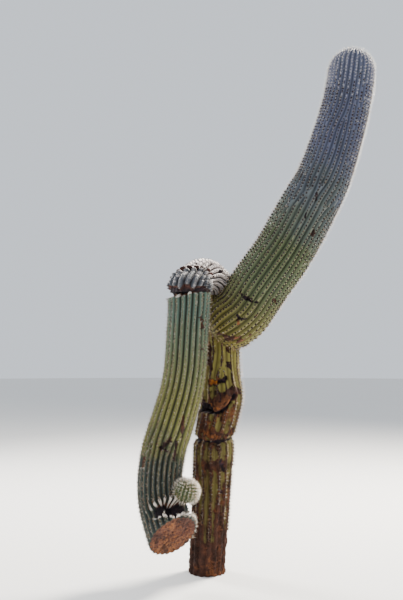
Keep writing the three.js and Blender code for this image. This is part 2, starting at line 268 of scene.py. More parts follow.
@dataclass
class Stem:
    """A ribbed stem whose ribs, cracks and marks are worked out at any place along and round it."""
    name: str
    line: list
    ribs: int
    relief: float  # depth of a groove
    fullness: float  # how full a rib is: the more, the narrower its groove
    inset: float  # how far the crests lie inside the line's radius
    side: tuple = AXIS_X  # the side that the first rib looks to
    level: bool = False  # whether its sections stay level
    span: tuple = (0.0, None)  # the part of its line that is built: None is the line's end
    foot_dome: float = 0.0  # length over which its foot closes
    foot_blunt: float = 2.0  # 2 is a round end, and more is a blunter one
    tip_dome: float = 0.0
    phase: float = 0.0  # how far its ribs are turned round it
    merges: tuple = ()  # a rib, where it is apart from the next and where joined, and where apart again
    cracks: tuple = ()
    marks: tuple = ()
    step: float = 0.025  # between two areoles
    ring: float = 0.008  # between two rings of its skin
    columns: int = 10  # points across a rib
    bark_foot: float = 0.0  # height that bark covers from the ground
    scales: tuple = None  # their spacing, the notch between them, and where along the stem they start
    wobble: float = 0.12  # how far a rib wanders, as a share of its width
    flat_end: tuple = (0.0, 0.1)  # how much of the relief goes towards the tip, and over what length
    cut: tuple = None  # the way that the face of a cut end looks
    seed: int = 1

    def __post_init__(self):
        self.trace()
        self.start, end = self.span
        self.end = self.length if end is None else end
        self.start += self.inset if self.foot_dome else 0.0
        self.end -= self.inset if self.tip_dome else 0.0
        self.rib_phase = np.random.default_rng(self.seed).uniform(0, 1, self.ribs)

    def trace(self):
        """Works out the middle line with a heading and an untwisted side at each sample."""
        rows = smooth_line(self.line)
        self.centres, self.radii = rows[:, :3], rows[:, 3]
        self.headings = unit(np.gradient(self.centres, axis=0))
        steps = np.linalg.norm(np.diff(self.centres, axis=0), axis=1)
        self.alongs = np.concatenate([[0], np.cumsum(steps)])
        self.length = self.alongs[-1]
        side, sides = np.array(self.side, float), []
        for heading in self.headings:
            side = unit(side - heading * dot(side, heading))
            sides.append(side)
        self.sides = np.array(sides)

    def at(self, along, table):
        """The values of one of the line's tables at places along the stem."""
        return np.stack([np.interp(along, self.alongs, column) for column in table.T], axis=-1)

    def section(self, along):
        """The middle, two axes and half-widths of the stem's section, and how far a dome has closed it."""
        centre, heading = self.at(along, self.centres), unit(self.at(along, self.headings))
        across, beside = (np.broadcast_to(axis, centre.shape) for axis in (AXIS_X, (0.0, 1.0, 0.0)))
        if not self.level:
            across = unit(self.at(along, self.sides))
            beside = unit(np.cross(heading, across))
        closing = np.ones(len(along))
        if self.foot_dome:
            inward = np.clip((along - self.start) / self.foot_dome, 0, 1)
            closing = closing * (1 - (1 - inward) ** self.foot_blunt) ** (1 / self.foot_blunt)
        if self.tip_dome:
            inward = np.clip((self.end - along) / self.tip_dome, 0, 1)
            closing = closing * np.sqrt(1 - (1 - inward) ** 2)
        half = np.interp(along, self.alongs, self.radii) * closing
        return centre, across, beside, half, half, closing

    def merged(self, along, lead=0.0):
        """How far each rib has grown together with its neighbour: lead draws that out along the stem."""
        merged = np.zeros((len(along), self.ribs))
        for rib, apart, joined, *parted in self.merges:
            reach = math.copysign(lead, joined - apart)
            share = ease(along, apart - reach, joined + reach)
            if parted:
                share = share * ease(along, parted[0] + lead, joined - lead)
            for column in (rib, (rib + 1) % self.ribs):
                merged[:, column] = np.maximum(merged[:, column], share)
        return merged

    def merging(self, rib, which):
        """Whether each rib is the first or the second of two that merge."""
        return np.isin(rib, [(merge[0] + which) % self.ribs for merge in self.merges])

    def rib_span(self, along, rib):
        """Where a rib starts round the stem and how wide it is, as angles, and how far it has merged."""
        merged = self.merged(along)
        weight = 1 - 0.5 * self.merged(along, LEAD)
        width = 2 * math.pi * weight / weight.sum(1, keepdims=True)
        rows = np.arange(len(along))
        start = width.cumsum(1)[rows, rib] - width[rows, rib] - width[:, 0] / 2
        return start + self.phase, width[rows, rib], merged[rows, rib]

    def notches(self, smooth, along, rib, outward, beside, furrow):
        """Where the crests are notched into scales, sooner on the flanks than on the outer side."""
        spacing, _, beyond = self.scales
        place = along / spacing + self.rib_phase[rib] + 0.35 * lumps(smooth, 0.05, seed=6)
        gap = np.exp(-((np.abs(place % 1 - 0.5) * spacing / NOTCH) ** 2)) * (1 - furrow) ** 0.5
        onset = beyond - 0.2 * np.abs(dot(outward, beside))
        return gap * ease(along, onset, onset + 0.02) * ease(lumps(smooth, 0.09, seed=7), -0.9, -0.5)

    def slanted(self, points, centre, along):
        """Points slid along the stem near its end, so that the end's face looks the way that the cut does."""
        facing, heading = np.array(self.cut), self.headings[-1]
        slide = -((points - centre) @ facing) / dot(heading, facing)
        slide = slide * np.clip((along - self.length + CUT_REACH) / CUT_REACH, 0, 1)
        return points + np.outer(slide, heading)

    def cracked(self, smooth, along, outward, furrow, chance):
        """What the cracks do together: see Crack.masks."""
        pull, bark, hollow, pale = np.zeros((4, len(along)))
        for crack in self.cracks:
            sink, bared, dark, rim = crack.masks(smooth, along, outward, furrow, chance)
            pull, pale = pull + sink, np.maximum(pale, rim)
            bark, hollow = np.maximum(bark, bared), np.maximum(hollow, dark)
        return pull, bark, hollow, pale

    def barked_foot(self, points, bark):
        """The bark with that of the stem's foot, which ends unevenly."""
        low = points[:, 2] + FOOT_RAGGED * lumps(points * FOOT_STRETCH, FOOT_LUMPS, seed=5)
        fade_low, fade_high = (share * self.bark_foot for share in FOOT_FADE)
        return np.maximum(bark, 1 - ease(low, fade_low, fade_high))

    def skin(self, along, rib, share, rough=1.0):
        """Points of the skin at places along the stem, at a share of the way across a rib, with masks."""
        start, width, merged = self.rib_span(along, rib)
        centre, across, beside, half_across, half_beside, closing = self.section(along)
        turn = start + share * width
        smooth = centre + half_across[:, None] * turned(across, beside, turn)
        turn = turn + self.wobble * width * lumps(smooth, WOBBLE_LENGTH, self.seed) * closing
        outward = turned(across, beside, turn)
        apart = np.abs(2 * share - 1)
        joined = np.abs(np.where(self.merging(rib, 0), 1 - share, share))
        furrow = apart + (joined - apart) * merged
        varied, length = RELIEF_LUMPS
        relief = self.relief * (1 + varied * lumps(smooth, length, self.seed + 5))
        fade, length = self.flat_end
        relief = relief * (1 - fade * ease(along, self.length - length, self.length))
        depth = relief * closing * furrow**self.fullness
        knob = KNOB * np.cos(2 * math.pi * (along / self.step - self.rib_phase[rib])) * (1 - furrow) ** 2
        pull, bark, hollow, pale = self.cracked(smooth, along, outward, furrow, self.rib_phase[rib])
        if self.scales:
            gap = self.notches(smooth, along, rib, outward, beside, furrow)
            pull, bark = pull + self.scales[1] * gap, np.maximum(bark, NOTCH_BARK * gap)
        depth = depth * (1 - FLAT_BARK * np.clip(bark, 0, 1)) + self.inset + pull - knob * closing
        wide = [np.maximum(half - depth, LEAST_WIDE)[:, None] for half in (half_across, half_beside)]
        points = centre + across * np.cos(turn)[:, None] * wide[0]
        points = points + beside * np.sin(turn)[:, None] * wide[1]
        if self.cut:
            points = self.slanted(points, centre, along)
        if self.bark_foot:
            bark = self.barked_foot(points, bark)
        for k, mark in enumerate(self.marks):
            mask = mark.mask(points, outward, self.seed + 7 * k)
            points = points - outward * (mark.sink * mask * closing)[:, None]
            bark, hollow = np.maximum(bark, mark.bark * mask), np.maximum(hollow, mark.hollow * mask)
        grit = sum((plain + bark * more) * lumps(points, size, self.seed + k)
                   for plain, more, size, k in GRIT)
        points = points + outward * (rough * grit * closing)[:, None]
        height = (along - self.start) / (self.end - self.start)
        masks = {"furrow": furrow, "bark": bark, "hollow": hollow, "pale": pale, "height": height}
        return points, outward, masks

    def ring_places(self):
        """Distances along the stem for its skin's rings: even steps, closer in a dome, none at a pole."""
        low, high = self.start + self.foot_dome, self.end - self.tip_dome
        places = list(np.linspace(low, high, max(2, round((high - low) / self.ring))))
        rise = 1 - np.cos(np.linspace(0, math.pi / 2, DOME_RINGS + 2)[1:-1])
        foot = list(self.start + self.foot_dome * rise) if self.foot_dome else []
        tip = list(self.end - self.tip_dome * rise[::-1]) if self.tip_dome else []
        return np.array(foot + places + tip)


class Fold(Stem):
    """The folded top, whose sections swing round a level axis from the hanging side to the trunk's side.

    Its line is a point on that axis and half the distance between the two sides.
    """

    def trace(self):
        self.axis, self.half_span = self.line
        self.length = math.pi * FOLD_ARC

    def section(self, along):
        turn = along / FOLD_ARC
        degrees = np.degrees(turn)
        rows = np.array(FOLD_PROFILE)
        outer, half_beside = (np.interp(degrees, rows[:, 0], rows[:, k]) for k in (1, 2))
        gap = self.half_span - np.interp(degrees, (0, 180), (HANGING_LINE[0][3], TRUNK_LINE[-1][3]))
        inner = gap + (FOLD_INNER - gap) * np.sin(turn) ** 2
        across = np.outer(np.cos(turn), FOLD_OUTWARD) + np.outer(np.sin(turn), (0, 0, 1))
        beside = np.broadcast_to(np.cross((0, 0, -1), FOLD_OUTWARD), across.shape)
        centre = self.axis + across * ((outer + inner) / 2)[:, None]
        return centre, across, beside, (outer - inner) / 2, half_beside, np.ones(len(along))


# Meshes

MAP_MARGIN, MAP_HEIGHT = 0.02, 0.9  # where the rings lie up the bake map
END_DISCS = ((0.04, 0.96), (0.12, 0.96))  # middles of the foot's and the tip's discs on it
DISC_RADIUS = 0.03
FACE_RINGS = 24  # rings of the cut face
FACE_SHRINK = 0.05  # how far the cut face draws in from its rim
FACE_RIDGE = (0.006, 0.62, 0.12)  # height, place from the rim and breadth of the low ridge round it
FACE_GRIT = ((0.008, 0.03, 8), (0.006, 0.013, 9), (0.008, 0.09, 10))  # height, size and seed of its lumps
CALLUS = {"furrow": 0.3, "bark": 1.0, "hollow": 0.0, "pale": 0.0, "height": 1.0}  # masks of the cut face


def mesh_object(name, vertices, faces, finish, masks=None, uvs=None, flat=()):
    """A mesh with its masks as vertex attributes and its uvs by corner, in the scene's collection."""
    mesh = bpy.data.meshes.new(name)
    mesh.from_pydata(vertices.tolist(), [], faces)
    for mask, values in (masks or {}).items():
        mesh.attributes.new(mask, "FLOAT", "POINT").data.foreach_set("value", values.astype(np.float32))
    if uvs is not None:
        mesh.uv_layers.new(name="OFBake").data.foreach_set("uv", uvs.astype(np.float32).ravel())
    smooth = np.ones(len(faces), bool)
    smooth[list(flat)] = False
    mesh.polygons.foreach_set("use_smooth", smooth)
    mesh.materials.append(finish)
    mesh.update()
    piece = bpy.data.objects.new(name, mesh)
    bpy.context.scene.collection.objects.link(piece)
    return piece


def skin_rings(stem):
    """The rings of a stem's skin as an array of rings by columns, and its masks by vertex."""
    along = stem.ring_places()
    share = np.tile(np.arange(stem.columns) / stem.columns, stem.ribs)
    rib = np.repeat(np.arange(stem.ribs), stem.columns)
    grid = np.meshgrid(along, np.arange(len(share)), indexing="ij")
    column = grid[1].ravel()
    points, _, masks = stem.skin(grid[0].ravel(), rib[column], share[column])
    return points.reshape(len(along), len(share), 3), masks


def cut_face(rings, facing, dish):
    """Rings from a rim to near its middle, rough and dished like dry callus."""
    rim = rings[-1]
    middle = rim.mean(0)
    ridge, place, breadth = FACE_RIDGE
    made = []
    for share in np.linspace(0, 1, FACE_RINGS + 2)[1:-1]:
        inward = ease(share, 0, 0.12)
        ring = rim + (middle - rim) * share
        ring = middle + (ring - middle) * (1 - FACE_SHRINK * inward)
        sunk = dish * (0.35 * inward + 0.65 * share**2) - ridge * np.exp(-(((share - place) / breadth) ** 2))
        rough = sum(height * lumps(ring, size, seed) for height, size, seed in FACE_GRIT)
        made.append(ring - np.outer(sunk + rough * inward, facing))
    return np.array(made)


def wall_faces(rows, count):
    """The quads between a skin's rings, and where each of their corners lies on the bake map."""
    i, j = (grid.ravel() for grid in np.meshgrid(np.arange(rows - 1), np.arange(count), indexing="ij"))
    corners = ((i, j), (i, j + 1), (i + 1, j + 1), (i + 1, j))
    quads = np.stack([row * count + column % count for row, column in corners], axis=1)
    places = [(column / count, MAP_MARGIN + MAP_HEIGHT * row / (rows - 1)) for row, column in corners]
    return quads, np.stack([np.stack(place, axis=1) for place in places], axis=1)


def fan_faces(count, first, pole, middle, foot):
    """The triangles between a ring and a pole, and a disc of the bake map for them."""
    ring = np.arange(count)
    pair = [first + ring, first + (ring + 1) % count]
    angle = 2 * math.pi * np.stack([ring, ring + 1], axis=1) / count
    disc = middle + DISC_RADIUS * np.stack([np.cos(angle), np.sin(angle)], axis=-1)
    if foot:
        pair, disc = pair[::-1], disc[:, ::-1]
    corners = np.concatenate([np.broadcast_to(middle, (count, 1, 2)), disc], axis=1)
    return np.stack([np.full(count, pole), *pair], axis=1), corners


def skin_piece(stem, finish, dish=None):
    """The closed skin of a stem: its rings, a cap at each end or a pole in each dome, and a bake map."""
    rings, masks = skin_rings(stem)
    count = rings.shape[1]
    if dish is not None:
        face = cut_face(rings, unit(np.array(stem.cut)), dish)
        rings = np.concatenate([rings, face])
        extra = len(face) * count
        masks = {name: np.concatenate([values, np.full(extra, CALLUS[name])])
                 for name, values in masks.items()}
    foot, tip = rings[0].mean(0), rings[-1].mean(0)
    if stem.foot_dome:
        foot = stem.at(np.array([stem.start]), stem.centres)[0]
    if stem.tip_dome:
        tip = stem.at(np.array([stem.end]), stem.centres)[0]
    vertices = np.concatenate([rings.reshape(-1, 3), [foot, tip]])
    masks = {name: np.concatenate([values, [values[0], values[-1]]]) for name, values in masks.items()}
    last = (len(rings) - 1) * count
    parts = [wall_faces(len(rings), count),
             fan_faces(count, 0, len(vertices) - 2, END_DISCS[0], foot=True),
             fan_faces(count, last, len(vertices) - 1, END_DISCS[1], foot=False)]
    faces = [face for part in parts for face in part[0].tolist()]
    uvs = np.concatenate([part[1].reshape(-1, 2) for part in parts])
    flat = [] if stem.foot_dome else list(range(last, last + count))
    flat += [] if stem.tip_dome or dish is not None else list(range(last + count, len(faces)))
    return mesh_object(f"{stem.name}_skin", vertices, faces, finish, masks, uvs, flat)


def signed_volume(piece):
    """Six times the volume inside a closed mesh: negative where its faces look inwards."""
    mesh = piece.data
    points = np.zeros(len(mesh.vertices) * 3)
    mesh.vertices.foreach_get("co", points)
    points = points.reshape(-1, 3)
    mesh.calc_loop_triangles()
    corners = np.zeros(len(mesh.loop_triangles) * 3, np.int32)
    mesh.loop_triangles.foreach_get("vertices", corners)
    a, b, c = points[corners.reshape(-1, 3).T]
    return dot(a, np.cross(b, c)).sum()


# Areoles and spines

TONES = ("grey", "straw", "cream", "brown")
END_MARGIN = 0.004  # least distance between an areole and the end of its stem
MERGED_AWAY = 0.4  # how far two ribs have merged where the second has lost its areoles
HOLLOW_KEEP = 0.2  # darkness of a crack past which an areole is gone
SLOPE_STEPS = (0.006, 0.12)  # metres along a rib and share across it, to find the skin's slope
CHANCE = (2.2, 0.1, 0.97)  # of an areole: its fall into a dome, and the least and most of it
PAD_SIDES = 6
PAD_LENGTH = 1.2  # along the stem, as a share of its width
PAD_SHOULDER = (0.75, 0.4)  # radius and height of its shoulder as shares of its radius
PAD_TOP = 0.6  # height of its top
PAD_ROOT = 0.004  # how deep a pad reaches into the skin
SPINE_FOOT = 0.001  # how far a spine's foot is off the skin, and an upright one's off the middle
PAD_EDGE = 0.0048  # how far from the areole's middle its flatter spines start
FLAT_TILT = 25  # degrees off upright past which a spine is one of those
BOX_MARGIN = 0.0005  # between a spine's tip and the solids' box
LOWEST_TIP = 0.004  # least height of a tip off the ground


def areoles(stem, keep, random):
    """Places of the areoles on a stem: point, outward, tip-wards direction and height for each."""
    count = int((stem.end - stem.start) / stem.step) + 1
    along = (np.arange(count)[:, None] + stem.rib_phase + math.ceil(stem.start / stem.step)) * stem.step
    along, rib = along.ravel(), np.tile(np.arange(stem.ribs), count)
    merged = stem.merged(along)[np.arange(len(along)), rib]
    inside = (along > stem.start + END_MARGIN) & (along < stem.end - END_MARGIN)
    inside &= ~(stem.merging(rib, 1) & (merged > MERGED_AWAY))
    along, rib, merged = along[inside], rib[inside], merged[inside]
    middle = 0.5 + 0.5 * merged * (stem.merging(rib, 0).astype(float) - stem.merging(rib, 1))
    points, outward, masks = stem.skin(along, rib, middle)
    up, wide = SLOPE_STEPS
    ahead, behind = (stem.skin(along + step, rib, middle, rough=0.0)[0] for step in (up, -up))
    left, right = (stem.skin(along, rib, middle + step, rough=0.0)[0] for step in (-wide, wide))
    tipward = unit(ahead - behind)
    normal = unit(np.cross(tipward, right - left))
    normal *= np.where(dot(normal, outward) < 0, -1, 1)[:, None]
    kept = (masks["bark"] < keep) & (masks["hollow"] < HOLLOW_KEEP) & (dot(normal, outward) > 0.05)
    rise, least, most = CHANCE
    kept &= random.uniform(0, 1, len(along)) < np.clip(rise * stem.section(along)[5], least, most)
    return points[kept], normal[kept], tipward[kept], masks["height"][kept]


def felt_pads(name, points, normal, tipward, size, finish):
    """Low domes of felt, one at each areole."""
    side = np.cross(normal, tipward)
    angle = 2 * math.pi * np.arange(PAD_SIDES) / PAD_SIDES
    rim = np.cos(angle)[:, None, None] * tipward * PAD_LENGTH + np.sin(angle)[:, None, None] * side
    rim = rim.swapaxes(0, 1)
    size = size[:, None, None]
    lower = points[:, None] + rim * size - normal[:, None] * PAD_ROOT
    wide, high = PAD_SHOULDER
    upper = points[:, None] + rim * size * wide + normal[:, None] * size * high
    top = points[:, None] + normal[:, None] * size * PAD_TOP
    vertices = np.concatenate([lower, upper, top], axis=1)
    ring = np.arange(PAD_SIDES)
    after = (ring + 1) % PAD_SIDES
    base = np.arange(len(points))[:, None] * vertices.shape[1]
    walls = np.stack([ring, after, after + PAD_SIDES, ring + PAD_SIDES], axis=1)
    crown = np.stack([ring + PAD_SIDES, after + PAD_SIDES, np.full(PAD_SIDES, 2 * PAD_SIDES)], axis=1)
    faces = (walls[None] + base[..., None]).reshape(-1, 4).tolist()
    faces += (crown[None] + base[..., None]).reshape(-1, 3).tolist()
    faces += (ring[::-1][None] + base).tolist()
    return mesh_object(name, vertices.reshape(-1, 3), faces, finish)


def spine_mesh(name, roots, directions, lengths, widths, finish):
    """Closed three-sided needles that taper to a point, held inside the solids' box."""
    helper = np.where(np.abs(directions[:, 2:3]) > 0.9, AXIS_X, (0.0, 0.0, 1.0))
    a = unit(np.cross(directions, helper))
    b = np.cross(directions, a)
    tips = roots + directions * lengths[:, None]
    low, high = np.array(CAD_LOW) + BOX_MARGIN, np.array(CAD_HIGH) - BOX_MARGIN
    tips = np.clip(tips, (low[0], low[1], LOWEST_TIP), high)
    angle = 2 * math.pi * np.arange(3) / 3
    base = roots[:, None] + widths[:, None, None] * (
        np.cos(angle)[None, :, None] * a[:, None] + np.sin(angle)[None, :, None] * b[:, None])
    vertices = np.concatenate([base, tips[:, None]], axis=1).reshape(-1, 3)
    pattern = np.array([(0, 1, 3), (1, 2, 3), (2, 0, 3), (2, 1, 0)])
    faces = (pattern[None] + 4 * np.arange(len(roots))[:, None, None]).reshape(-1, 3).tolist()
    return mesh_object(name, vertices, faces, finish)


@dataclass
class SpineRow:
    """One kind of spine at an areole. Shares is how many are of each tone: a number, or one for the stem's
    foot and one for its tip. Shares that add up to less than 1 thin the spines out.

    Spines are thinned by side too, as painted light: more stay on the side that looks to the sun and fewer on
    the shaded side. Base is what stays at right angles to that, and least is what stays everywhere.
    """
    count: int
    tilts: tuple  # degrees off upright
    lengths: tuple
    width: float  # radius of a spine at its foot
    shares: dict
    # the way to the sun, as painted light: more spines stay on the side that looks to it
    sunward: tuple = (0.0, 0.0, 0.0)
    base: float = 1.0
    least: float = 0.0

    def tone(self, normal, height, chance):
        """Which of the tones each spine has by its chance, or their number where it is left out."""
        pairs = [np.broadcast_to(self.shares.get(tone, 0.0), 2) for tone in TONES]
        share = np.maximum(0, np.stack([low + (high - low) * height for low, high in pairs]))
        # painted light: spines thin out on the shaded side
        kept = np.clip(self.base + normal @ np.array(self.sunward), self.least, 1)
        return (chance > (share * kept).cumsum(0)).sum(0)


def spines(stem, places, habit, random):
    """All the spines of a stem, dealt out by tone into one joined piece for each."""
    points, normal, tipward, height = places
    side = np.cross(normal, tipward)
    roots, directions, lengths, widths, tones = [], [], [], [], []
    for row in habit:
        for k in range(row.count):
            turn = 2 * math.pi * (k + random.uniform(-0.35, 0.35, len(points))) / row.count
            tilt = np.radians(random.uniform(*row.tilts, len(points)))
            flat = turned(tipward, side, turn)
            directions.append(unit(turned(normal, flat, tilt)))
            out = PAD_EDGE if row.tilts[0] > FLAT_TILT else SPINE_FOOT
            roots.append(points + normal * SPINE_FOOT + flat * out)
            lengths.append(random.uniform(*row.lengths, len(points)))
            widths.append(np.full(len(points), row.width))
            tones.append(row.tone(normal, height, random.uniform(0, 1, len(points))))
    roots, directions, lengths, widths, tones = (
        np.concatenate(values) for values in (roots, directions, lengths, widths, tones))
    for index, tone in enumerate(TONES):
        own = tones == index
        if own.any():
            finish = shared_finish(f"{tone}_spine", shade(tone), 0.55)
            piece = spine_mesh(f"{stem.name}_{tone}_spines", roots[own], directions[own], lengths[own],
                               widths[own], finish)
            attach(piece, "root")


# Shader maths

RELIEF_DEPTH = 0.005  # metres that a relief of 1 stands out


class Term:
    """A socket that Python's operators can work with: each adds its Math node."""

    def __init__(self, finish, socket):
        self.finish, self.socket = finish, socket

    def math(self, operation, *values, clamp=False):
        links = dict(enumerate(values))
        node = self.finish.node("ShaderNodeMath", {"operation": operation, "use_clamp": clamp}, links)
        return Term(self.finish, node.outputs[0])

    def __add__(self, other):
        return self.math("ADD", self, other)

    def __sub__(self, other):
        return self.math("SUBTRACT", self, other)

    def __rsub__(self, other):
        return self.math("SUBTRACT", other, self)

    def __mul__(self, other):
        return self.math("MULTIPLY", self, other)

    __radd__ = __add__
    __rmul__ = __mul__

    def clamp(self):
        return self.math("ADD", self, 0.0, clamp=True)

    def step(self, low, high):
        """0 below low and 1 above high."""
        return self.math("MULTIPLY", self - low, 1 / (high - low), clamp=True)


class Finish:
    """A material whose nodes are made from Python values and terms."""

    def __init__(self, name):
        self.material = bpy.data.materials.new(name)
        self.material.use_nodes = True
        self.tree = self.material.node_tree
        self.tree.nodes.clear()
        self.shader = self.node("ShaderNodeBsdfPrincipled")
        self.node("ShaderNodeOutputMaterial", links={"Surface": self.shader.outputs[0]})
        self.place = self.node("ShaderNodeTexCoord").outputs["Object"]

    def put(self, socket, value):
        """Links a socket to a term or another socket, or gives it a value."""
        value = value.socket if isinstance(value, Term) else value
        if isinstance(value, bpy.types.NodeSocket):
            self.tree.links.new(value, socket)
        else:
            socket.default_value = value

    def node(self, kind, settings=None, links=None):
        """A node of a kind, with its settings first and then the values or links of its sockets."""
        node = self.tree.nodes.new(kind)
        for name, value in (settings or {}).items():
            setattr(node, name, value)
        for name, value in (links or {}).items():
            self.put(node.inputs[name], value)
        return node

    def mask(self, name):
        """A mask that the mesh carries."""
        return Term(self, self.node("ShaderNodeAttribute", {"attribute_name": name}).outputs["Fac"])

    def noise(self, scale, detail=4.0, roughness=0.6, stretch=(1, 1, 1)):
        """Noise round 0.5 over the object, which stretch pulls out along an axis where it is below 1."""
        place = self.node("ShaderNodeVectorMath", {"operation": "MULTIPLY"}, {0: self.place, 1: stretch})
        links = {"Vector": place.outputs[0], "Scale": scale, "Detail": detail, "Roughness": roughness}
        return Term(self, self.node("ShaderNodeTexNoise", None, links).outputs["Fac"])

    def cells(self, scale):
        """Distance to the nearest of many scattered points, for pits."""
        links = {"Vector": self.place, "Scale": scale}
        return Term(self, self.node("ShaderNodeTexVoronoi", None, links).outputs["Distance"])

    def mix(self, first, second, share, blend="MIX"):
        """A colour between two colours, or one darkened by the other."""
        first, second = ((*c, 1.0) if isinstance(c, tuple) and len(c) == 3 else c for c in (first, second))
        settings = {"data_type": "RGBA", "blend_type": blend}
        return self.node("ShaderNodeMix", settings, {0: share, 6: first, 7: second}).outputs[2]

    def finish(self, colour, roughness, relief=None, **constants):
        """Sets the shader's colour, roughness and relief, and its constants."""
        colour = (*colour, 1.0) if isinstance(colour, tuple) else colour
        sockets = {"Base Color": colour, "Roughness": roughness}
        if relief is not None:
            links = {"Strength": 1.0, "Distance": RELIEF_DEPTH, "Height": relief}
            bump = self.node("ShaderNodeBump", None, links)
            sockets["Normal"] = bump.outputs[0]
        for name, value in (*sockets.items(), *constants.items()):
            self.put(self.shader.inputs[name], value)
        return self.material


def skin_finish(name, low, high, groove_shade, crest, bark, turn=(0.2, 0.8), line=0.55, line_turn=(0.74, 0.9),
                base=None, base_turn=(0.03, 0.13), groove_turn=(0.45, 0.92), groove_blend="MIX",
                groove_fade=0.0, tip_crest=None, fleck=None, stain=0.0, pitted=(1.12, 1.2), torn_shade=0.0,
                gloss=0.5, clumps=24.0):
    """Waxy ribbed skin that goes from low to high up the stem, with painted shade in its grooves and ragged
    bark.

    A turn is where one look changes to the next: up the stem, out of a groove or up a noise. Line is how
    strong the crest's colour is, stain how much bark the noise adds, torn how much painted shade it adds
    in a crack's deep bark, and clumps the scale of the noise that the bark's patches follow.
    """
    made = Finish(name)
    furrow, barked, hollow = made.mask("furrow"), made.mask("bark"), made.mask("hollow")
    height, rim = made.mask("height"), made.mask("pale")
    blotch = made.noise(5.0, 3.0)
    streak = made.noise(16.0, 5.0, 0.65, (1.0, 1.0, 0.35))
    grain = made.noise(70.0, 6.0, 0.7)
    clump = made.noise(clumps, 5.0, 0.6)
    pits = made.cells(110.0)

    skin = made.mix(low, high, (height + (blotch - 0.5) * 0.4).step(*turn))
    if base:
        skin = made.mix(base, skin, (height + (blotch - 0.5) * 0.12).step(*base_turn))
    skin = made.mix(skin, tuple(0.55 * c for c in low), (streak.step(0.5, 0.75)) * 0.4)
    if fleck:
        skin = made.mix(skin, fleck, (clump * 0.7 + streak * 0.5 + height * 0.2).step(0.66, 0.76) * 0.85)
    # painted shade: the grooves between the ribs are darkened, less near the tip where groove_fade is set
    deep_shade = furrow.step(*groove_turn) * (0.92 - height.step(*turn) * groove_fade)
    skin = made.mix(skin, groove_shade, deep_shade, groove_blend)
    crest = made.mix(crest, tip_crest or crest, height.step(*turn))
    skin = made.mix(skin, crest, ((1 - furrow) + (grain - 0.5) * 0.15).step(*line_turn) * line)

    dark_bark, light_bark, rust = bark
    woody = made.mix(dark_bark, light_bark, (grain * 0.6 + clump * 0.9 + blotch * 0.4).step(0.8, 1.1))
    rusty = ((clump + (blotch - 0.5)).step(0.55, 0.7) * 0.6 + barked.step(1.1, 1.7)).clamp()
    woody = made.mix(woody, rust, rusty)
    woody = made.mix(woody, FLAME, barked.step(1.9, 2.5) * streak.step(0.4, 0.55))
    woody = made.mix(woody, tuple(0.3 * c for c in dark_bark), (grain + streak).step(*pitted) * 0.85)
    # painted shade: near-black patches in the deep bark of a crack
    if torn_shade:
        woody = made.mix(woody, CRACK_SHADE, (clump + grain * 0.4).step(0.68, 0.76) * barked.step(1.2, 1.4) * torn_shade)
    ragged = (barked + (grain - 0.5) * 0.55 + (streak - 0.5) * 0.5).step(0.4, 0.56)
    if stain:
        stained = streak * 0.7 + blotch * 0.6 + (1 - furrow) * 0.22 - height * 0.22 + grain * 0.25
        ragged = (ragged + stained.step(0.7, 0.84) * stain).clamp()

    colour = made.mix(skin, woody, ragged)
    # painted highlight on the lit tips of rib ends beside a crack, partly their pale bared tissue
    colour = made.mix(colour, PALE_LIT_RIB_END, (rim * (0.2 + grain * 0.7 + streak)).step(0.35, 0.75) * 0.92)
    # painted shade inside cracks and sunken scars, warmed where old tissue shows, and dark scar tissue
    crack_shading = made.mix(CRACK_SHADE, WARM_CRACK_SHADE, clump.step(0.5, 0.66) * 0.8)
    colour = made.mix(colour, crack_shading, hollow.step(0.15, 0.7))
    relief = (grain * 0.9 + pits * 0.8) * (0.12 + ragged * 0.9) + streak * 0.25
    return made.finish(colour, 0.64 + ragged * 0.26, relief, **{"Specular IOR Level": gloss})


def shared_finish(name, value, roughness):
    """One dull colour, for felt and spines too fine to carry a pattern."""
    return bpy.data.materials.get(name) or Finish(name).finish(value, roughness)


# What a user would change

def size(name, description, default):
    return FloatProperty(name=name, description=description, default=default, min=0.0, max=1.0,
                         unit="LENGTH", precision=4)


def power(name, description, default):
    return FloatProperty(name=name, description=description, default=default, min=0.0, unit="POWER")


def colour(name, description, default):
    return FloatVectorProperty(name=name, description=description, default=default, min=0.0, max=1.0,
                               subtype="COLOR", size=3)


class SaguaroSizes(bpy.types.PropertyGroup):
    inset: size("Skin inset", "How far the crests lie inside the solids, which reach to the spines", 0.01)
    pad: size("Felt pad", "Radius of an areole's felt pad", 0.0062)
    needle: size("Spine width", "Radius of a spine at its foot", 0.0007)
    dish: size("Cut dish", "How far the middle of the cut face lies back from its rim", 0.026)
    seed: IntProperty(name="Seed", description="Sets every scatter on the plant", default=11)


